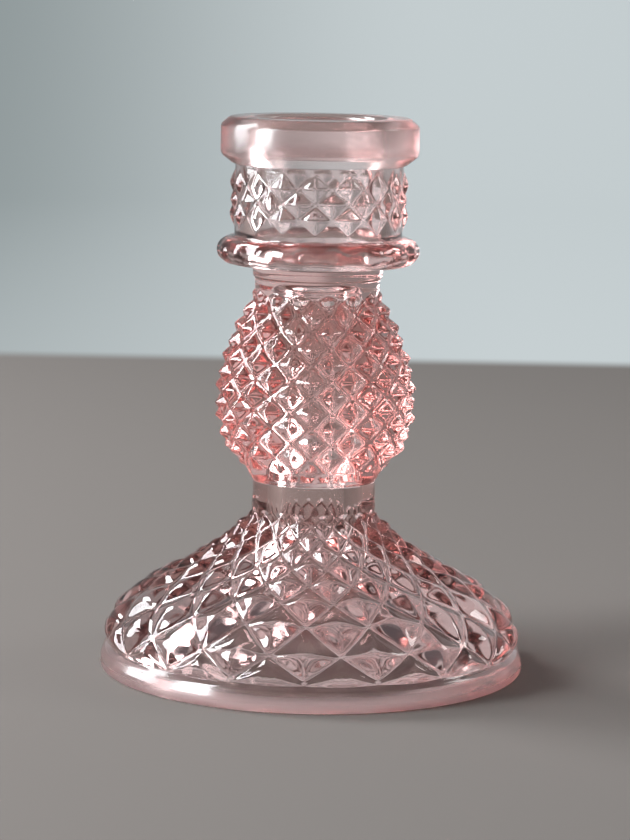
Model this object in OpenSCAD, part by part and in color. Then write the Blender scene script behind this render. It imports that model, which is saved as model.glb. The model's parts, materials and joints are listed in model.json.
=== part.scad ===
// Pressed-glass candlestick, rebuilt as the named sections of its casting.
// Every section is a ring or a cup around the Z axis, and each meets the next
// face to face. The foot stands on z = 0 and the candle enters from the top.

/* [Overall] */
// Height from the table to the mouth
total_h = 100; // [83:1:130]
// Diameter of the foot at the table
foot_d = 77; // [64:0.2:96]

/* [Candle socket] */
// Diameter of the candle that the socket holds
candle_d = 22; // [18:0.5:24]
// Gap between the candle and the bore, on each side
candle_clearance = 0.6; // [0.3:0.1:1.2]
// Depth of the straight bore below the mouth
socket_depth = 24; // [18:0.5:25.5]
// Depth of the narrowing bottom below the straight bore
socket_bottom_h = 3; // [1:0.1:4]
// Width of the socket's floor
socket_floor_d = 18; // [12:0.5:20]
// Thickness of the plain wall around the bore
socket_wall = 2.2; // [1.6:0.1:3]
// Bevel around the inside of the mouth
mouth_bevel = 0.5; // [0.2:0.1:1]

/* [Rim band] */
// How far the band stands out from the socket wall
rim_reach = 4; // [3:0.1:6]
// Height of the band, with the slope under it
rim_h = 8.4; // [6.6:0.2:11]
// Width of the chamfer on the band's upper edge
rim_chamfer_w = 1.65; // [0.8:0.05:2.2]
// Height of the chamfer on the band's upper edge
rim_chamfer_h = 1.4; // [0.8:0.1:2]
// Height of the slope under the band
rim_slope_h = 1.7; // [1:0.1:2.5]

/* [Cut band of the cup] */
// Height of the band of diamonds
cup_band_h = 13; // [11.4:0.2:18]
// Thickness of the band at its grooves, from the socket wall
cup_groove_t = 1.35; // [1:0.05:2.5]
// Diamonds in one turn
cup_cols = 16; // [12:1:24]
// Height of a diamond's point above its grooves
cup_relief = 0.9; // [0.5:0.1:1.5]

/* [Drip ring] */
// How far the ring stands out from the socket wall
ring_reach = 4.5; // [3.5:0.1:6]
// Thickness of the ring from top to bottom
ring_t = 4.8; // [3.6:0.2:7]

/* [Necks] */
// Diameter of both necks
neck_d = 22.6; // [20:0.1:26]
// Height of the upper neck
upper_neck_h = 4.4; // [3:0.2:8]
// Height of the lower neck
lower_neck_h = 5.2; // [3:0.2:9]
// How far the upper step of the upper neck stands out
neck_step = 0.45; // [0.2:0.05:1]
// How far the lower neck is drawn in at its middle
neck_waist = 0.15; // [0.1:0.05:0.6]

/* [Knop] */
// Diameter of the knop over its points
knop_d = 36.8; // [31:0.2:44]
// Diamonds in one turn of the knop
knop_cols = 14; // [10:1:20]
// Height of a diamond's point above the channels
knop_relief = 1.6; // [0.8:0.1:2]
// Width of the channels between the diamonds
channel_w = 0.55; // [0.3:0.05:0.9]
// Plain lip between the lowest diamonds and the lower neck
knop_lip_h = 2.6; // [1:0.1:4]

/* [Diamond rows] */
// Height of one diamond on the knop and the cup
diamond_h = 5.58; // [4.6:0.02:7]

/* [Foot] */
// Height of the foot, up to the lower neck
foot_h = 29.8; // [25:0.2:36]
// Height of the plain band at the bottom of the foot
foot_rim_h = 4.2; // [3:0.1:6]
// Thickness of the foot's wall
foot_wall = 5.5; // [4:0.1:6.5]
// Diamonds in one turn of the foot
foot_cols = 18; // [14:1:24]
// Height of a diamond's point above its grooves
foot_relief = 1.3; // [0.5:0.1:1.6]
// Height of a foot diamond, as a share of how wide it is
foot_stretch = 1.16; // [1:0.01:1.4]
// Rounding of the foot's lower outside edge
foot_round = 1; // [0.5:0.1:1.6]
// Width of the flat ring that rests on the table
rest_w = 2.6; // [2:0.1:3.4]

/* [Hollow] */
// Diameter of the hollow up the stem
hollow_d = 11.5; // [9:0.5:14]
// Thickness of the glass under the candle
floor_t = 2.4; // [2:0.1:4]

/* [Hidden] */
$fn = 96;
glass = [0.93, 0.62, 0.60, 0.45];

// Heights of the faces where the sections meet
rim_z = total_h - rim_h;
cup_z = rim_z - cup_band_h;
ring_z = cup_z - ring_t;
knop_top_z = ring_z - upper_neck_h;
knop_z = foot_h + lower_neck_h;
bore_z = total_h - socket_depth;
socket_floor_z = bore_z - socket_bottom_h;
hollow_top_z = socket_floor_z - floor_t;

// Radii that more than one section shares
bore_r = candle_d / 2 + candle_clearance;
socket_r = bore_r + socket_wall;
cup_r = socket_r + cup_groove_t;
neck_r = neck_d / 2;
hollow_r = hollow_d / 2;
foot_r = foot_d / 2;

// Which way a column of diamonds faces, in degrees from the front
cup_turn = -2.2;
knop_turn = -2.6;
foot_turn = -1.6;

// Width of the grooves of the cup and the foot, which are pressed to an edge
groove_w = 0.3;

// ---- Diamonds on a round body ----
// A body is a list of rows from bottom to top. Each row is
// [radius, height, outward r, outward z, relief]. Grooves cross at the nodes of
// a row, the points stand halfway between them, and the next row is half a
// column round. The first and last rows are plain rings.

function along(a, b, share) = a + (b - a) * share;
function around(row, half, cols, turn) =
    let (angle = turn + half * 180 / cols)
    [row[0] * sin(angle), -row[0] * cos(angle), row[1]];
function raised(row) = [row[0] + row[4] * row[2], row[1] + row[4] * row[3]];

// How far a corner moves in from a crossing to leave half a channel's width
function inset(row, next, cols, channel) =
    let (wide = row[0] * sin(180 / cols), tall = norm([next[0] - row[0], next[1] - row[1]]))
    channel / 2 * norm([wide, tall]) / (wide * tall);

// Four corners round each crossing, then one point for each diamond
function row_points(rows, i, cols, turn, channel) =
    let (odd = i % 2, share = inset(rows[i], rows[i + 1], cols, channel))
    concat(
        [for (j = [0:cols - 1]) let (h = 2 * j + odd, here = around(rows[i], h, cols, turn))
            each [
                along(here, around(rows[i + 1], h, cols, turn), share),
                along(here, around(rows[i], h + 1, cols, turn), share),
                along(here, around(rows[i - 1], h, cols, turn), share),
                along(here, around(rows[i], h - 1, cols, turn), share)
            ]],
        [for (j = [0:cols - 1]) around(raised(rows[i]), 2 * j + 1 - odd, cols, turn)]
    );

module diamond_body(rows, cols, turn, channel) {
    last = len(rows) - 1;
    ring = 2 * cols;
    per_row = 5 * cols;
    points = concat(
        [for (h = [0:ring - 1]) around(rows[0], h, cols, turn)],
        [for (i = [1:last - 1]) each row_points(rows, i, cols, turn, channel)],
        [for (h = [0:ring - 1]) around(rows[last], h, cols, turn)],
        [[0, 0, rows[0][1]], [0, 0, rows[last][1]]]
    );
    top_ring = ring + (last - 1) * per_row;
    hub = top_ring + ring;
    function wrap(h) = (h + ring) % ring;
    function low(h) = wrap(h);
    function high(h) = top_ring + wrap(h);
    function corner(i, h, side) = ring + (i - 1) * per_row + 4 * ((wrap(h) - i % 2) / 2) + side;
    function tip(i, h) = ring + (i - 1) * per_row + 4 * cols + floor(wrap(h) / 2);
    up = 0;
    east = 1;
    down = 2;
    west = 3;
    crossings = [for (i = [1:last - 1]) for (j = [0:cols - 1]) [i, 2 * j + i % 2]];
    faces = concat(
        [for (c = crossings) let (i = c[0], h = c[1])
            each [
                [corner(i, h, up), corner(i, h, east), corner(i, h, down)],
                [corner(i, h, up), corner(i, h, down), corner(i, h, west)]
            ]],
        [for (c = crossings) if (c[0] < last - 1) let (i = c[0], h = c[1])
            each [
                [tip(i + 1, h), corner(i, h, up), corner(i + 1, h - 1, east)],
                [tip(i + 1, h), corner(i + 1, h + 1, west), corner(i, h, up)],
                [tip(i, h + 1), corner(i, h, east), corner(i + 1, h + 1, down)],
                [tip(i, h - 1), corner(i + 1, h - 1, down), corner(i, h, west)],
                [corner(i, h, up), corner(i + 1, h + 1, west), corner(i + 1, h + 1, down)],
                [corner(i, h, up), corner(i + 1, h + 1, down), corner(i, h, east)],
                [corner(i, h, up), corner(i, h, west), corner(i + 1, h - 1, down)],
                [corner(i, h, up), corner(i + 1, h - 1, down), corner(i + 1, h - 1, east)]
            ]],
        [for (c = crossings) if (c[0] == 1) let (h = c[1])
            each [
                [tip(1, h + 1), low(h + 1), corner(1, h, east)],
                [tip(1, h - 1), corner(1, h, west), low(h - 1)],
                [corner(1, h, down), corner(1, h, east), low(h + 1)],
                [corner(1, h, down), low(h + 1), low(h)],
                [corner(1, h, down), low(h), low(h - 1)],
                [corner(1, h, down), low(h - 1), corner(1, h, west)]
            ]],
        [for (c = crossings) if (c[0] == last - 1) let (i = c[0], h = c[1])
            each [
                [tip(i, h + 1), corner(i, h, east), high(h + 1)],
                [tip(i, h - 1), high(h - 1), corner(i, h, west)],
                [corner(i, h, up), high(h + 1), corner(i, h, east)],
                [corner(i, h, up), high(h), high(h + 1)],
                [corner(i, h, up), high(h - 1), high(h)],
                [corner(i, h, up), corner(i, h, west), high(h - 1)]
            ]],
        [for (h = [0:ring - 1]) each [[hub, low(h), low(h + 1)], [hub + 1, high(h + 1), high(h)]]]
    );
    polyhedron(points, faces, convexity = 8);
}

// ---- Hollow inside the stem and the foot ----

// Outer curve of the foot at the diamonds' points, from the neck (0) to the plain band (1).
// The curve leaves the neck towards a handle foot_sweep of the way out, and comes down from
// a handle above the edge to a place foot_lean inside it. The band leans in at its top by
// foot_shoulder, so that the lowest diamonds stand out over it.
foot_lean = 0.1;
foot_shoulder = foot_lean + 0.4 * foot_relief;
foot_sweep = 0.265;
foot_mid = along(foot_rim_h, foot_h, 0.51);
foot_curve = [
    [neck_r + 0.1, foot_h],
    [along(neck_r, foot_r, foot_sweep), foot_mid],
    [foot_r, foot_mid],
    [foot_r - foot_lean, foot_rim_h]
];
function foot_at(t) =
    let (s = 1 - t)
    s * s * s * foot_curve[0] + 3 * s * s * t * foot_curve[1]
    + 3 * s * t * t * foot_curve[2] + t * t * t * foot_curve[3];
function foot_speed(t) =
    let (s = 1 - t)
    3 * (s * s * (foot_curve[1] - foot_curve[0]) + 2 * s * t * (foot_curve[2] - foot_curve[1])
    + t * t * (foot_curve[3] - foot_curve[2]));
function foot_out(t) = let (v = foot_speed(t)) [-v[1], v[0]] / norm(v);
function foot_in(t, depth) = foot_at(t) - depth * foot_out(t);

inner_steps = 12;
inner_points = [for (k = [1:inner_steps]) foot_in(k / inner_steps, foot_relief + foot_wall)];
hollow_mouth_z = foot_h - 3;
hollow_points = [for (p = inner_points) if (p[0] > hollow_r + 0.2 && p[1] < hollow_mouth_z - 1) p];
rest_inner_r = foot_r - foot_round - rest_w;
hollow_corner = 1.5;

module hollow() {
    rotate_extrude()
        polygon(concat(
            [[0, -1], [rest_inner_r, -1], [rest_inner_r, 0]],
            [for (k = [len(hollow_points) - 1:-1:0]) hollow_points[k]],
            [[hollow_r, hollow_mouth_z], [hollow_r, hollow_top_z - hollow_corner],
                [hollow_r - hollow_corner, hollow_top_z], [0, hollow_top_z]]
        ));
}

// ---- Space for the candle, which ends inside the upper neck ----

module candle_space() {
    translate([0, 0, bore_z])
        cylinder(r = bore_r, h = socket_depth + 1);
    translate([0, 0, socket_floor_z])
        cylinder(r1 = socket_floor_d / 2, r2 = bore_r, h = socket_bottom_h);
}

// ---- Sections ----

module candle_socket() {
    color(glass)
        difference() {
            translate([0, 0, ring_z])
                cylinder(r = socket_r, h = total_h - ring_z);
            candle_space();
            translate([0, 0, total_h - mouth_bevel])
                cylinder(r1 = bore_r, r2 = bore_r + 2 * mouth_bevel, h = 2 * mouth_bevel);
            hollow();
        }
}

module rim_band() {
    rim_r = socket_r + rim_reach;
    color(glass)
        rotate_extrude()
            polygon([
                [socket_r, rim_z],
                [cup_r, rim_z],
                [rim_r, rim_z + rim_slope_h],
                [rim_r, total_h - rim_chamfer_h],
                [rim_r - rim_chamfer_w, total_h],
                [socket_r, total_h]
            ]);
}

// Rows are half a diamond apart. The cup's first and last rows are plain, so its diamonds end
// in points, and the pattern sits a little above the middle of the band
row_h = diamond_h / 2;
cup_rows_n = 2 * floor((cup_band_h / row_h - 0.4) / 2);
cup_lift = 0.25;
cup_first_z = cup_z + (cup_band_h - cup_rows_n * row_h) / 2 + cup_lift;

module cup_diamond_band() {
    rows = concat(
        [[cup_r, cup_z, 1, 0, 0]],
        [for (i = [0:cup_rows_n])
            let (relief = i == 0 || i == cup_rows_n ? 0 : cup_relief)
            [cup_r, cup_first_z + i * row_h, 1, 0, relief]],
        [[cup_r, rim_z, 1, 0, 0]]
    );
    color(glass)
        difference() {
            diamond_body(rows, cup_cols, cup_turn + 180 / cup_cols, groove_w);
            translate([0, 0, cup_z - 1])
                cylinder(r = socket_r, h = cup_band_h + 2);
        }
}

module drip_ring() {
    bead_r = ring_t / 2;
    color(glass)
        rotate_extrude()
            difference() {
                union() {
                    translate([socket_r + ring_reach - bead_r, ring_z + bead_r])
                        circle(r = bead_r);
                    translate([socket_r, ring_z])
                        square([ring_reach - bead_r, ring_t]);
                }
                square([socket_r, total_h]);
            }
}

module upper_neck() {
    step_z = upper_neck_h / 2;
    slope = 0.4;
    color(glass)
        difference() {
            rotate_extrude()
                polygon([
                    [0, knop_top_z],
                    [neck_r, knop_top_z],
                    [neck_r, knop_top_z + step_z - slope],
                    [neck_r + neck_step, knop_top_z + step_z],
                    [neck_r + neck_step, ring_z],
                    [0, ring_z]
                ]);
            candle_space();
            hollow();
        }
}

// Outline of the knop at the diamonds' points. It is widest two fifths of the way up, and
// powers of a cosine make the upper half slim and the lower half full
knop_h = knop_top_z - knop_z;
widest_z = knop_z + 0.4 * knop_h;
slim = 0.95;
full = 0.62;
function knop_r(z) =
    neck_r + (knop_d / 2 - neck_r)
    * (z > widest_z
        ? pow(cos(90 * min(1, (z - widest_z) / (knop_top_z - widest_z))), slim)
        : pow(cos(90 * min(1, (widest_z - z) / (widest_z - knop_z))), full));
knop_rows_n = floor((knop_h - knop_lip_h - 0.6) / row_h);

module stem_knop() {
    // Relief is less in the first and last row, where the diamonds run into the necks. The
    // channels grow shallow there, and end end_cut below the neck's surface
    end_cut = 0.5;
    function relief(i) = i == 0 ? 0.35 : i == knop_rows_n ? 0.8 : 1;
    function depth(z) = min(knop_relief, end_cut + 0.75 * (knop_r(z) - neck_r));
    rows = concat(
        [[neck_r, knop_z, 1, 0, 0]],
        [for (i = [0:knop_rows_n])
            let (z = knop_z + knop_lip_h + i * row_h)
            [knop_r(z) - depth(z), z, 1, 0, relief(i) * depth(z)]],
        [[neck_r, knop_top_z, 1, 0, 0]]
    );
    color(glass)
        difference() {
            diamond_body(rows, knop_cols, knop_turn, channel_w);
            hollow();
        }
}

module lower_neck() {
    color(glass)
        difference() {
            rotate_extrude()
                polygon([
                    [0, foot_h],
                    [neck_r, foot_h],
                    [neck_r - neck_waist, foot_h + lower_neck_h * 0.35],
                    [neck_r - neck_waist, foot_h + lower_neck_h * 0.65],
                    [neck_r, knop_z],
                    [0, knop_z]
                ]);
            hollow();
        }
}

// Places of the foot's rows on its curve. The lowest diamonds are cut short by the plain band,
// and from the first full row they are walked up so that a diamond keeps its proportions
short_row = 0.985;
first_row = 0.82;
walk_steps = 8;
last_place = 0.03;
foot_pace = PI / foot_cols * foot_stretch * 0.94;
function walk(t, left, n) =
    n == 0 ? t : walk(t - left / n / norm(foot_speed(t)), left - left / n, n - 1);
function foot_rows(t) =
    let (next = walk(t, foot_pace * foot_in(t, foot_relief)[0], walk_steps))
    next < last_place ? [t] : concat([t], foot_rows(next));
foot_places = foot_rows(first_row);

module foot_dome() {
    last = len(foot_places) - 1;
    function row(t, share) =
        let (p = foot_in(t, foot_relief), n = foot_out(t))
        [p[0], p[1], n[0], n[1], foot_relief * share];
    rows = concat(
        [[foot_r - foot_shoulder, foot_rim_h, 1, 0, 0]],
        [row(short_row, 0.6)],
        [for (k = [0:last]) row(foot_places[k], k == last ? 0.5 : 1)],
        [[neck_r, foot_h, 1, 0, 0]]
    );
    color(glass)
        difference() {
            diamond_body(rows, foot_cols, foot_turn + 180 / foot_cols, groove_w);
            hollow();
        }
}

module foot_rim() {
    color(glass)
        difference() {
            rotate_extrude()
                polygon(concat(
                    [[0, 0]],
                    [for (a = [0:15:90])
                        [foot_r - foot_round + foot_round * sin(a), foot_round - foot_round * cos(a)]],
                    [[foot_r, foot_rim_h / 2], [foot_r - foot_shoulder, foot_rim_h], [0, foot_rim_h]]
                ));
            hollow();
        }
}

candle_socket();
rim_band();
cup_diamond_band();
drip_ring();
upper_neck();
stem_knop();
lower_neck();
foot_dome();
foot_rim();
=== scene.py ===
import json
import math
import bpy
from mathutils import Matrix, Vector, noise


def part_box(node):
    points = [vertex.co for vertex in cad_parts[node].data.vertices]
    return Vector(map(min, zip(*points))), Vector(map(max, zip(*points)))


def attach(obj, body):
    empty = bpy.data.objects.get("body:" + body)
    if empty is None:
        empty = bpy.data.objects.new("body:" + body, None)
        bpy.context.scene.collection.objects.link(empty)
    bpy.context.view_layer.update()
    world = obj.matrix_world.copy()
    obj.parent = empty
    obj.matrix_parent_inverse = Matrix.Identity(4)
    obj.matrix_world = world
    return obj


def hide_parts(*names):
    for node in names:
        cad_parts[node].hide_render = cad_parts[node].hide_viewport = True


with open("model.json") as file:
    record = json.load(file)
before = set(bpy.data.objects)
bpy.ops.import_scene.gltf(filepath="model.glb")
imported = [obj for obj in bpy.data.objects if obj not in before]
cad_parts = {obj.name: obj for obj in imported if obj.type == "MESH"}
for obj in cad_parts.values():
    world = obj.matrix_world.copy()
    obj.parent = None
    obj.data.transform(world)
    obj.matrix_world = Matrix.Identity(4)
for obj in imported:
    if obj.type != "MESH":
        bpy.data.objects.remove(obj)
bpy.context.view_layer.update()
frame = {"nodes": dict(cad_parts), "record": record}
print("frame loaded")

mm = 0.001


def heights(node):
    low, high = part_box(node)
    return low[2], high[2]


def reach(node):
    low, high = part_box(node)
    return (high[0] - low[0]) / 2


mount = {m["name"]: m for m in frame["record"]["mounts"]}
boreRadius = mount["candle_bore"]["dims"]["r_mm"] * mm
boreDepth = mount["candle_bore"]["dims"]["length_mm"] * mm
restRadius = mount["table_rest"]["pos_m"][0]

# ---- Camera ----
cameraSetup = {
    "distance": 0.5465,  # from the candlestick's axis, along the table
    "height": 0.1269,
    "pitch": 8.49,
    "roll": 1.05,
    "lens": 130.8,
    "sensor": 36,
}


def addCamera(setup):
    data = bpy.data.cameras.new("camera")
    data.lens = setup["lens"]
    data.sensor_width = setup["sensor"]
    data.clip_start = 0.01
    data.clip_end = 20
    camera = bpy.data.objects.new("camera", data)
    bpy.context.scene.collection.objects.link(camera)
    tilt = Matrix.Rotation(math.radians(90 - setup["pitch"]), 4, "X")
    roll = Matrix.Rotation(math.radians(setup["roll"]), 4, "Z")
    place = Matrix.Translation((0, -setup["distance"], setup["height"]))
    camera.matrix_world = place @ tilt @ roll
    bpy.context.scene.camera = camera


addCamera(cameraSetup)
print("camera placed")


# ---- Shader helper: wraps a socket, so that expressions on values add Math nodes ----
class Wire:
    def __init__(self, tree, socket):
        self.tree = tree
        self.socket = socket

    def maths(self, operation, *others):
        return self.node("ShaderNodeMath", {"operation": operation}, dict(enumerate((self, *others))))

    def node(self, kind, settings, inputs, output=0):
        made = self.tree.nodes.new(kind)
        for name, value in settings.items():
            setattr(made, name, value)
        for name, value in inputs.items():
            if isinstance(value, Wire):
                self.tree.links.new(value.socket, made.inputs[name])
            else:
                made.inputs[name].default_value = value
        return Wire(self.tree, made.outputs[output])

    def __add__(self, other):
        return self.maths("ADD", other)

    def __mul__(self, other):
        return self.maths("MULTIPLY", other)

    def __rsub__(self, other):
        return self.node("ShaderNodeMath", {"operation": "SUBTRACT"}, {0: other, 1: self})

    __radd__ = __add__
    __rmul__ = __mul__


def newMaterial(name):
    material = bpy.data.materials.new(name)
    material.use_nodes = True
    tree = material.node_tree
    tree.nodes.clear()
    place = tree.nodes.new("ShaderNodeTexCoord")
    return material, Wire(tree, place.outputs["Object"])


def finishMaterial(place, surface, volume=None):
    out = place.tree.nodes.new("ShaderNodeOutputMaterial")
    place.tree.links.new(surface.socket, out.inputs["Surface"])
    if volume is not None:
        place.tree.links.new(volume.socket, out.inputs["Volume"])


# ---- Rose glass ----
roseGlass = {
    "clear": (1.0, 0.985, 0.98, 1),
    "pinker": (1.0, 0.85, 0.85, 1),  # where the skin has taken more colour
    "skinTone": {"rim": 0.2, "cup": 0.25, "foot": 0.3},  # share of the pinker skin
    "ior": 1.5,
    "tint": (0.93, 0.20, 0.13, 1),  # what a long way through the glass leaves
    "density": 28,  # per metre
    "waveSize": 130,  # slow waves of the pressing
    "waveHeight": 0.00007,
    "hollowWaves": 4,  # how much higher they are in the hollow
    "grainSize": 1500,  # fine orange peel left by the mould
    "grainHeight": 0.000012,
    "plainGrain": 0.3,  # share of the grain outside the knop
    "cloudSize": 60,  # patches that are less glossy
    "cloudSpan": (0.4, 0.75),
    "roughness": (0.0, 0.05),
    "satin": {  # roughness that each zone adds
        "rim": 0.17, "cup": 0.06, "ring": 0.1, "band": 0.16, "rest": 0.25, "stem": 0.04, "hollow": 0.07,
    },
    "restHeight": 1.6 * mm,  # where the satin of the resting ring ends
}


def makeRoseGlass(glass):
    material, place = newMaterial("rose_glass")
    height = place.node("ShaderNodeSeparateXYZ", {}, {0: place}, 2)

    def above(level, blur):
        inputs = {"Value": height, "From Min": level - blur, "From Max": level + blur}
        return place.node("ShaderNodeMapRange", {"interpolation_type": "SMOOTHSTEP"}, inputs)

    def between(low, high, blur):
        return above(low, blur) * (1 - above(high, blur))

    def noiseOf(scale, detail):
        return place.node("ShaderNodeTexNoise", {}, {"Vector": place, "Scale": scale, "Detail": detail})

    wave = noiseOf(glass["waveSize"], 1)
    grain = noiseOf(glass["grainSize"], 2)
    cloud = noiseOf(glass["cloudSize"], 2)
    inside = place.node("ShaderNodeAttribute", {"attribute_name": "inside"}, {}, 2)
    knopZone = between(knopLow, knopTop, 1 * mm)
    rimZone = above(rimLow, 0.8 * mm)
    cupZone = between(cupLow, rimLow, 0.8 * mm)
    footZone = 1 - above(domeTop, 2 * mm)
    plainGrain = glass["plainGrain"]
    waveHeight = (inside * (glass["hollowWaves"] - 1) + 1) * glass["waveHeight"]
    grainHeight = (knopZone * (1 - plainGrain) + plainGrain) * glass["grainHeight"]
    relief = wave * waveHeight + grain * grainHeight
    bump = place.node("ShaderNodeBump", {}, {"Strength": 1, "Distance": 1, "Height": relief})
    gloss = place.node("ShaderNodeMapRange", {}, {
        "Value": cloud, "From Min": glass["cloudSpan"][0], "From Max": glass["cloudSpan"][1],
        "To Min": glass["roughness"][0], "To Max": glass["roughness"][1],
    })
    satin = glass["satin"]
    rough = gloss + rimZone * (cloud * 0.5 + 0.75) * satin["rim"]
    rough = rough + cupZone * satin["cup"] + between(ringLow, ringTop, 0.6 * mm) * satin["ring"]
    rough = rough + (1 - above(domeLow, 0.8 * mm)) * satin["band"]
    rough = rough + (1 - above(glass["restHeight"], 0.5 * mm)) * satin["rest"]
    rough = rough + inside * (footZone * (satin["hollow"] - satin["stem"]) + satin["stem"])
    tone = glass["skinTone"]
    pinkness = rimZone * tone["rim"] + cupZone * tone["cup"] + footZone * tone["foot"]
    colour = place.node(
        "ShaderNodeMix", {"data_type": "RGBA"}, {0: pinkness, 6: glass["clear"], 7: glass["pinker"]}, 2
    )
    surface = place.node("ShaderNodeBsdfPrincipled", {}, {
        "Base Color": colour, "Roughness": rough, "IOR": glass["ior"],
        "Transmission Weight": 1, "Normal": bump,
    })
    depth = {"Color": glass["tint"], "Density": glass["density"]}
    volume = place.node("ShaderNodeVolumeAbsorption", {}, depth)
    finishMaterial(place, surface, volume)
    return material


# ---- One closed skin, built in rings from the bore's floor, over the rim and round to the hollow ----
class Skin:
    def __init__(self):
        self.points = []
        self.faces = []
        self.insideFrom = 0  # the first point of the hollow

    def point(self, radius, height, angle):
        self.points.append((radius * math.sin(angle), -radius * math.cos(angle), height))
        return len(self.points) - 1

    def ring(self, radius, height, count, lobes=0, depth=0):
        step = 2 * math.pi / count
        wave = [radius + depth * math.cos(lobes * k * step) for k in range(count)]
        return [(k * step, self.point(wave[k], height, k * step)) for k in range(count)]

    def cap(self, height, ring, first):
        hub = self.point(0, height, 0)
        for (_, a), (_, b) in zip(ring, ring[1:] + ring[:1]):
            self.faces.append((hub, a, b) if first else (hub, b, a))

    def join(self, upper, lower):
        upper = sorted(upper)
        lower = sorted(lower)
        turn = 2 * math.pi
        i = j = 0
        while i < len(upper) or j < len(lower):
            nextUpper = upper[(i + 1) % len(upper)][0] + turn * ((i + 1) // len(upper))
            nextLower = lower[(j + 1) % len(lower)][0] + turn * ((j + 1) // len(lower))
            a = upper[i % len(upper)][1]
            b = lower[j % len(lower)][1]
            if j >= len(lower) or (i < len(upper) and nextUpper <= nextLower):
                c = upper[(i + 1) % len(upper)][1]
                i += 1
            else:
                c = lower[(j + 1) % len(lower)][1]
                j += 1
            if len({a, b, c}) == 3:
                self.faces.append((a, b, c))


def soften(corners, steps=4):
    # Corners are (radius, height, how far the rounding reaches). Gives the outline's points.
    outline = []
    for k, (radius, height, size) in enumerate(corners):
        here = Vector((radius, height))
        if size == 0 or k in (0, len(corners) - 1):
            outline.append(here)
            continue
        before = Vector(corners[k - 1][:2]) - here
        after = Vector(corners[k + 1][:2]) - here
        start = here + before.normalized() * min(size, before.length * 0.49)
        end = here + after.normalized() * min(size, after.length * 0.49)
        for n in range(steps + 1):
            t = n / steps
            outline.append(start * (1 - t) ** 2 + here * 2 * t * (1 - t) + end * t * t)
    return outline


def addOutline(skin, last, outline, count, lobes=0, depths=None):
    for k, point in enumerate(outline):
        ring = skin.ring(point.x, point.y, count, lobes, depths[k] if depths else 0)
        skin.join(last, ring)
        last = ring
    return last


# ---- Diamonds pressed into a round body ----
def smoothMin(a, b, blend):
    gap = max(blend - abs(a - b), 0)
    return min(a, b) - gap * gap / (4 * blend)


def diamondHeight(p, q, cut, puff=0):
    # p and q run from 0 to 1 across the diamond, along its two pairs of sides
    edge = smoothMin(smoothMin(p, 1 - p, cut["ridge"]), smoothMin(q, 1 - q, cut["ridge"]), cut["ridge"])
    top = 0.5 - cut["ridge"] * 0.4
    x = (edge - cut["groove"]) / (top - cut["groove"])
    toe = cut["toe"]
    if x <= -toe:
        return 0
    if x < toe:
        x = (x + toe) ** 2 / (4 * toe)
    return x + (cut["bulge"] + puff * max(0, 1 - p - q)) * x * (1 - min(x, 1))


def cutDiamonds(skin, last, cut):
    # surface(u) gives (radius, height, outward r, outward z) of the grooves at row u, counted upwards
    cols = cut["cols"]
    rows = cut["rows"]
    half = math.pi / cols
    toe = cut["toe"] * (0.5 - cut["groove"])
    low, high = cut["groove"] + toe, 0.5 - cut["ridge"] * 0.45
    between = [low + (high - low) * k / cut["fine"] for k in range(1, cut["fine"])]
    side = [round(s, 3) for s in [0, max(cut["groove"] - toe, 0.02), low, *between, high]]
    steps = side + [0.5] + [1 - s for s in reversed(side)]
    made = {}

    def vertex(h, u, height):
        key = (round(h * 1e5) % (200000 * cols), round(u * 1e5))
        if key not in made:
            r, z, outR, outZ = cut["surface"](u)
            angle = math.radians(cut["turn"]) + h * half
            made[key] = (angle % (2 * math.pi), skin.point(r + height * outR, z + height * outZ, angle))
        return made[key]

    count = len(steps) - 1
    topEdge = []
    lowEdge = []
    for row in range(rows + 1):
        relief = cut["relief"](row)
        for column in range(cols):
            h = 2 * column + row % 2
            grid = {}
            for j, p in enumerate(steps):
                for k, q in enumerate(steps):
                    up = p + q - 1
                    lift = 0
                    inside = 1 - abs(up) - abs(p - q)
                    if row == 0:
                        up = up if up > 0 else up * cut["lowCut"]
                        lift = cut["lowLift"] * inside
                    if row == rows:
                        up = up if up < 0 else up * cut["topCut"]
                        lift = -cut["topLift"] * inside
                    puff = cut["puff"] if row < 2 else 0
                    grid[j, k] = vertex(h + p - q, row + up + lift, relief * diamondHeight(p, q, cut, puff))
            for j in range(count):
                for k in range(count):
                    low, right = grid[j, k][1], grid[j + 1, k][1]
                    left, high = grid[j, k + 1][1], grid[j + 1, k + 1][1]
                    if (steps[j] + steps[j + 1] - 1) * (steps[k] + steps[k + 1] - 1) > 0:
                        skin.faces += [(low, right, high), (low, high, left)]
                    else:
                        skin.faces += [(low, right, left), (right, high, left)]
            if row == 0:
                lowEdge += [grid[0, k] for k in range(count, 0, -1)]
                lowEdge += [grid[j, 0] for j in range(count)]
            if row == rows:
                topEdge += [grid[j, count] for j in range(count)]
                topEdge += [grid[count, k] for k in range(count, 0, -1)]

    def plainRings(edge, uEnd, shares):
        # Rings part of the way from the jagged edge to the round one at row uEnd
        endRadius, endHeight = cut["surface"](uEnd)[:2]
        rings = []
        for share in shares:
            ring = []
            for angle, index in edge:
                x, y, height = skin.points[index]
                r = math.hypot(x, y) * (1 - share) + endRadius * share
                ring.append((angle, skin.point(r, height * (1 - share) + endHeight * share, angle)))
            rings.append(ring)
        return rings

    above = plainRings(topEdge, cut["topEnd"], (1, 0.66, 0.33))
    for ring in above:
        skin.join(last, ring)
        last = ring
    skin.join(last, topEdge)
    last = lowEdge
    for ring in plainRings(lowEdge, cut["lowEnd"], (0.33, 0.66, 1)):
        skin.join(last, ring)
        last = ring
    return last


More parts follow.
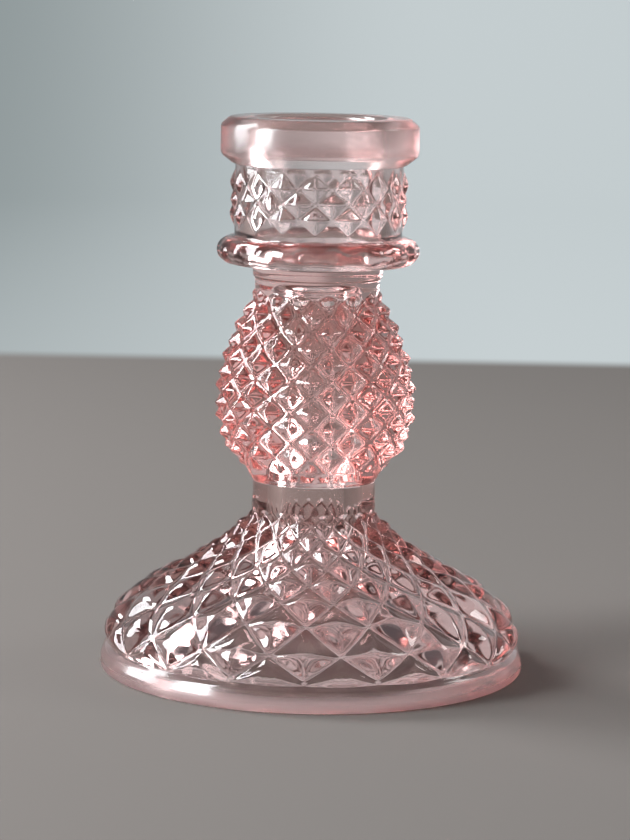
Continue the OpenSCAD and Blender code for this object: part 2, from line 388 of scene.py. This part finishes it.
# ---- The casting's outline, taken from the frame ----
rimLow, rimTop = heights("rim_band")
cupLow, _ = heights("cup_diamond_band")
ringLow, ringTop = heights("drip_ring")
upperLow, _ = heights("upper_neck")
knopLow, knopTop = heights("stem_knop")
neckLow, _ = heights("lower_neck")
domeLow, domeTop = heights("foot_dome")
rimRadius = reach("rim_band")
ringRadius = reach("drip_ring")
stepRadius = reach("upper_neck")
neckRadius = reach("lower_neck")
footRadius = reach("foot_rim")

cup = {
    "cols": 16, "rows": 4, "fine": 2, "turn": -2.2 + 180 / 16, "rowHeight": 2.79 * mm, "groove": 0.06,
    "depth": 0.9 * mm, "ridge": 0.14, "toe": 0.14, "bulge": 0.5, "radius": 15.15 * mm,
    "lowCut": 0.3, "topCut": 0.3, "lowLift": 0, "topLift": 0, "puff": 0, "raised": 0.25 * mm,
}
cupFirst = (cupLow + rimLow) / 2 - cup["rows"] / 2 * cup["rowHeight"] + cup["raised"]
cup["surface"] = lambda u: (cup["radius"], cupFirst + u * cup["rowHeight"], 1, 0)
cup["relief"] = lambda row: 0 if row in (0, cup["rows"]) else cup["depth"]
cup["lowEnd"] = (cupLow - cupFirst) / cup["rowHeight"]
cup["topEnd"] = (rimLow - cupFirst) / cup["rowHeight"]

knop = {
    "cols": 14, "rows": 11, "fine": 2, "turn": -2.6, "rowHeight": 2.79 * mm, "groove": 0.1,
    "depth": 1.6 * mm, "ridge": 0.1, "toe": 0.18, "bulge": 0.15, "radius": 18.4 * mm, "lip": 2.6 * mm,
    "widest": 0.4, "slim": 0.95, "full": 0.62, "endCut": 0.5 * mm, "endSlope": 0.75,
    "firstRow": 0.35, "lastRow": 0.8,  # share of the full depth
    "lowCut": 0.2, "topCut": 0.4, "lowLift": 0, "topLift": 0, "puff": 0,
}


def knopTips(z):
    middle = knopLow + knop["widest"] * (knopTop - knopLow)
    end, power = (knopTop, knop["slim"]) if z > middle else (knopLow, knop["full"])
    share = min(1, max(0, (z - middle) / (end - middle)))
    return neckRadius + (knop["radius"] - neckRadius) * math.cos(math.pi / 2 * share) ** power


def knopDepth(z):
    return min(knop["depth"], knop["endCut"] + knop["endSlope"] * (knopTips(z) - neckRadius))


def knopSurface(u):
    z = knopLow + knop["lip"] + u * knop["rowHeight"]
    if u < 0:
        share = -u / -knop["lowEnd"]
        return knopSurface(0)[0] * (1 - share) + (neckRadius + 0.2 * mm) * share, z, 1, 0
    if u > knop["rows"]:
        share = (u - knop["rows"]) / (knop["topEnd"] - knop["rows"])
        return knopSurface(knop["rows"])[0] * (1 - share) + neckRadius * share, z, 1, 0
    return knopTips(z) - knopDepth(z), z, 1, 0


def knopRelief(row):
    share = {0: knop["firstRow"], knop["rows"]: knop["lastRow"]}.get(row, 1)
    return share * knopDepth(knopSurface(row)[1])


knop["lowEnd"] = -(knop["lip"] - 0.15 * mm) / knop["rowHeight"]
knop["topEnd"] = (knopTop - knopLow - knop["lip"]) / knop["rowHeight"]
knop["surface"] = knopSurface
knop["relief"] = knopRelief

foot = {
    "cols": 18, "fine": 4, "turn": 8.4, "groove": 0.05, "depth": 1.3 * mm, "ridge": 0.1, "toe": 0.1,
    "bulge": 0.75, "lean": 0.1 * mm, "sweep": 0.265, "middle": 0.51, "pace": 1.0904,
    "short": 0.985, "first": 0.82, "last": 0.03, "wall": 5.5 * mm, "shoulder": 0.62 * mm,
    "lowCut": 0.15, "topCut": 0.5, "lowLift": 0.45, "topLift": 0, "puff": 0.6,
    "firstRow": 0.8, "lastRow": 0.5,  # share of the full depth
}
footMiddle = domeLow + (domeTop - domeLow) * foot["middle"]
footHandles = [
    Vector((neckRadius + 0.1 * mm, domeTop)),
    Vector((neckRadius + (footRadius - neckRadius) * foot["sweep"], footMiddle)),
    Vector((footRadius, footMiddle)),
    Vector((footRadius - foot["lean"], domeLow)),
]


def footCurve(t, depth):
    a, b, c, d = footHandles
    s = 1 - t
    point = a * s ** 3 + b * 3 * s * s * t + c * 3 * s * t * t + d * t ** 3
    speed = (b - a) * 3 * s * s + (c - b) * 6 * s * t + (d - c) * 3 * t * t
    out = Vector((-speed.y, speed.x)).normalized()
    return point - out * depth, out, speed.length


def footPlaces():
    places = [foot["short"], foot["first"]]
    while True:
        t = places[-1]
        step = math.pi / foot["cols"] * foot["pace"] * footCurve(t, foot["depth"])[0].x
        for n in range(8):
            t -= step / 8 / footCurve(t, 0)[2]
        if t < foot["last"]:
            return places
        places.append(t)


footRows = footPlaces()
foot["rows"] = len(footRows) - 1


def footSurface(u):
    ends = [1] + footRows + [0]
    k = min(max(math.floor(u), -1), foot["rows"])
    t = ends[k + 1] + (ends[k + 2] - ends[k + 1]) * min(u - k, 1)
    point, out, _ = footCurve(t, foot["depth"])
    share = max(0, u - foot["rows"])
    point = point.lerp(Vector((neckRadius, domeTop)), share)
    share = min(1, max(0, -u))  # the grooves run out into the plain band
    point = point.lerp(Vector((footRadius - foot["shoulder"], domeLow - 0.4 * mm)), share)
    return point.x, point.y, out.x, out.y


foot["surface"] = footSurface
footShares = {0: foot["firstRow"], foot["rows"]: foot["lastRow"]}
foot["relief"] = lambda row: foot["depth"] * footShares.get(row, 1)
foot["lowEnd"] = -1
foot["topEnd"] = foot["rows"] + 1

body = {
    "around": 200,
    "socketFloor": (9 * mm, 3 * mm, 1.6 * mm),  # radius, how far under the straight bore, rounding
    "mouthBevel": 0.5 * mm, "chamfer": (1.65 * mm, 1.4 * mm), "rimSlope": 1.7 * mm,
    "edge": 0.45 * mm, "waist": 0.15 * mm, "footEdge": 1.1 * mm,
    "hollowRadius": 5.75 * mm, "hollowCorner": 1.5 * mm, "floor": 2.4 * mm, "restHalf": 1.3 * mm,
    "lobes": 20, "lobeDepth": 0.2 * mm, "wobble": 0.1 * mm, "wobbleSize": 5 * mm,
}


def buildCandlestick():
    skin = Skin()
    n = body["around"]
    edge = body["edge"]
    bore = rimTop - body["mouthBevel"] - boreDepth
    floorRadius, floorDrop, floorRound = body["socketFloor"]
    floor = bore - floorDrop
    wide, tall = body["chamfer"]
    mouth = soften([
        (boreRadius * 0.3, floor, 0),
        (floorRadius, floor, floorRound),
        (boreRadius, bore, floorRound),
        (boreRadius, rimTop - body["mouthBevel"], 0.3 * mm),
        (boreRadius + body["mouthBevel"], rimTop, 0.3 * mm),
        (rimRadius - wide, rimTop, edge),
        (rimRadius, rimTop - tall, edge),
        (rimRadius, rimLow + body["rimSlope"], edge * 1.5),
        (cup["radius"] + edge, rimLow, edge),
        (cup["radius"], rimLow - 0.02 * mm, 0),
    ])
    centre = skin.ring(boreRadius * 0.15, floor, n)
    skin.cap(floor, centre, True)
    last = addOutline(skin, centre, mouth[:-1], n)
    last = cutDiamonds(skin, last, cup)
    bead = (ringTop - ringLow) / 2
    beadCentre = ringRadius - body["lobeDepth"] - bead
    turns = [math.pi * k / 16 for k in range(1, 17)]
    beadMiddle = Vector((beadCentre, ringLow + bead))
    beadLine = [beadMiddle + bead * Vector((math.sin(a), math.cos(a))) for a in turns]
    lobeDepths = [body["lobeDepth"] * math.sin(a) for a in turns]
    last = addOutline(skin, last, beadLine, n, body["lobes"], lobeDepths)
    stepMiddle = (ringLow + upperLow) / 2
    neck = soften([
        (stepRadius + edge, ringLow, 0),
        (stepRadius, ringLow, edge),
        (stepRadius, stepMiddle, 0.35 * mm),
        (neckRadius, stepMiddle - 0.4 * mm, 0.35 * mm),
        (neckRadius, upperLow + 0.1 * mm, 0),
    ])
    last = addOutline(skin, last, neck, n)
    last = cutDiamonds(skin, last, knop)
    neckLine = soften([
        (neckRadius + 0.2 * mm, knopLow + 0.12 * mm, 0),
        (neckRadius - body["waist"], knopLow - 0.3 * mm, 0.4 * mm),
        (neckRadius - body["waist"], neckLow + 2 * mm, 1 * mm),
        (neckRadius, neckLow + 0.05 * mm, 0),
    ])
    last = addOutline(skin, last, neckLine, n)
    last = cutDiamonds(skin, last, foot)
    restInner = restRadius - body["restHalf"]
    base = soften([
        (footRadius - foot["shoulder"] + 0.05 * mm, domeLow - 0.6 * mm, 0),
        (footRadius, 2.1 * mm, 1.4 * mm),
        (footRadius, 0, body["footEdge"]),
        (restInner, 0, 0.5 * mm),
        (restInner - 1 * mm, 1.2 * mm, 0),
    ])
    last = addOutline(skin, last, base, n)
    skin.insideFrom = len(skin.points)
    inner = [footCurve(1 - k / 20, foot["depth"] + foot["wall"])[0] for k in range(20)]
    inner = [p for p in inner if p.x > body["hollowRadius"] + 0.6 * mm]
    last = addOutline(skin, last, inner, n)
    top = floor - body["floor"]
    corner = body["hollowCorner"]
    stem = soften([
        (body["hollowRadius"] + 0.4 * mm, inner[-1].y + 0.8 * mm, 0),
        (body["hollowRadius"], inner[-1].y + 4 * mm, 2 * mm),
        (body["hollowRadius"], top - corner, corner),
        (body["hollowRadius"] - corner, top, corner),
        (body["hollowRadius"] * 0.2, top, 0),
    ])
    last = addOutline(skin, last, stem, n)
    skin.cap(top, sorted(last), False)
    return skin


def wobble(skin):
    # The pressing leaves no surface quite true: each point moves in towards the axis a little
    for k, point in enumerate(skin.points):
        here = Vector(point)
        share = noise.noise(here / body["wobbleSize"]) * 0.5 + 0.5
        radius = math.hypot(here.x, here.y)
        if radius > 1 * mm:
            shrink = 1 - body["wobble"] * share / radius
            skin.points[k] = (here.x * shrink, here.y * shrink, here.z)
    return skin


def addPiece(name, skin, material):
    mesh = bpy.data.meshes.new(name)
    mesh.from_pydata(skin.points, [], skin.faces)
    mesh.validate()
    mesh.materials.append(material)
    mesh.polygons.foreach_set("use_smooth", [True] * len(mesh.polygons))
    inside = mesh.attributes.new("inside", "FLOAT", "POINT")
    inside.data.foreach_set("value", [float(k >= skin.insideFrom) for k in range(len(mesh.vertices))])
    mesh.update()
    piece = bpy.data.objects.new(name, mesh)
    bpy.context.scene.collection.objects.link(piece)
    return piece


glassMaterial = makeRoseGlass(roseGlass)
candlestick = addPiece("candlestick_glass", wobble(buildCandlestick()), glassMaterial)
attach(candlestick, "root")
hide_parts(*frame["nodes"])
print("candlestick built,", len(candlestick.data.polygons), "faces")


# ---- Floor, backdrop and light ----
studio = {
    "floorColour": (0.155, 0.140, 0.130, 1),
    "farColour": (0.04, 0.04, 0.04, 1),
    "farPaintedGlow": ((0.24, 0.278, 0.283, 1), (0.52, 0.575, 0.59, 1)),  # left and right of the backdrop: painted light that it emits, darker at the left, brighter at the right
    "nearPaintedGlow": (0.27, 0.28, 0.285, 1),  # the backdrop on the other three sides: painted light that it emits, of one even tone
    "glowSpread": (-0.24, 0.08),
    "horizon": (0.425, 0.45),  # how far behind the candlestick the backdrop's tone begins
    "edge": (0.48, 0.7),  # and how far out it begins on every side
    "radius": 1.1,
    "bend": 0.3,
    "wallTop": 1.2,
    "around": 96,
    "lights": {  # place, aim, size, watts, colour
        "window": ((-0.78, -0.35, 0.37), (0, 0, 0.37), (0.3, 0.66), 19.5, (0.93, 0.97, 1)),
        "side_window": ((-0.82, 0.2, 0.37), (0, 0, 0.37), (0.34, 0.66), 9.5, (0.93, 0.96, 1)),
        "upper_window": ((-0.6, 0.38, 0.68), (0, 0, 0.02), (0.25, 0.3), 6.5, (0.94, 0.97, 1)),
        "right_card": ((0.75, 0.1, 0.45), (0, 0, 0), (0.2, 0.3), 1.5, (1, 0.99, 0.98)),
        "overhead": ((0, 0, 1.2), (0, 0, rimTop / 2), (1, 1), 1.5, (1, 1, 1)),
    },
    "sky": (0.86, 0.92, 1, 1),
    "skyStrength": 0.12,
}


def makeBackdrop():
    material, place = newMaterial("backdrop_card")
    side = place.node("ShaderNodeSeparateXYZ", {}, {0: place}, 0)
    far = place.node("ShaderNodeSeparateXYZ", {}, {0: place}, 1)
    out = place.node("ShaderNodeVectorMath", {"operation": "LENGTH"}, {0: place}, 1)

    def rise(value, span):
        inputs = {"Value": value, "From Min": span[0], "From Max": span[1]}
        return place.node("ShaderNodeMapRange", {"interpolation_type": "SMOOTHSTEP"}, inputs)

    def mixed(share, first, second):
        inputs = {0: share, 6: first, 7: second}
        return place.node("ShaderNodeMix", {"data_type": "RGBA"}, inputs, 2)

    # Beyond the horizon and the edge, the card's own colour is near black. Its tone there is painted light
    # that it emits, standing in for a lit wall: darker at the left, brighter at the right.
    beyond = rise(far, studio["horizon"]).maths("MAXIMUM", rise(out, studio["edge"]))
    farPaintedGlow = mixed(rise(side, studio["glowSpread"]), *studio["farPaintedGlow"])
    glow = mixed(rise(far, (0, studio["horizon"][0])), studio["nearPaintedGlow"], farPaintedGlow)
    surface = place.node("ShaderNodeBsdfPrincipled", {}, {
        "Base Color": mixed(beyond, studio["floorColour"], studio["farColour"]),
        "Roughness": 0.8, "Specular IOR Level": 0,
        "Emission Color": mixed(beyond, (0, 0, 0, 1), glow), "Emission Strength": 1,
    })
    finishMaterial(place, surface)
    return material


def addStage():
    # A round floor that bends up into a wall on every side
    bend = studio["bend"]
    line = [(0.02 * k * studio["radius"], 0) for k in (1, 5, 15, 30, 50)]
    for k in range(1, 13):
        a = math.pi / 2 * k / 12
        line.append((studio["radius"] + bend * math.sin(a), bend * (1 - math.cos(a))))
    line.append((studio["radius"] + bend, studio["wallTop"]))
    skin = Skin()
    last = skin.ring(*line[0], studio["around"])
    skin.cap(0, last, True)
    for radius, height in line[1:]:
        ring = skin.ring(radius, height, studio["around"])
        skin.join(last, ring)
        last = ring
    mesh = bpy.data.meshes.new("floor")
    mesh.from_pydata(skin.points, [], skin.faces)
    mesh.materials.append(makeBackdrop())
    mesh.polygons.foreach_set("use_smooth", [True] * len(mesh.polygons))
    floor = bpy.data.objects.new("floor", mesh)
    bpy.context.scene.collection.objects.link(floor)


def addLight(name, place, aim, size, watts, colour):
    data = bpy.data.lights.new(name, "AREA")
    data.shape = "RECTANGLE"
    data.size, data.size_y = size
    data.energy = watts
    data.color = colour
    light = bpy.data.objects.new(name, data)
    light.location = place
    light.rotation_euler = (Vector(aim) - Vector(place)).to_track_quat("-Z", "Y").to_euler()
    light.visible_camera = False
    bpy.context.scene.collection.objects.link(light)


addStage()
for name, settings in studio["lights"].items():
    addLight(name, *settings)
world = bpy.data.worlds.new("studio")
world.use_nodes = True
sky = world.node_tree.nodes["Background"].inputs
sky["Color"].default_value = studio["sky"]
sky["Strength"].default_value = studio["skyStrength"]
bpy.context.scene.world = world
bpy.context.scene.view_settings.view_transform = "Standard"
print("studio lit")
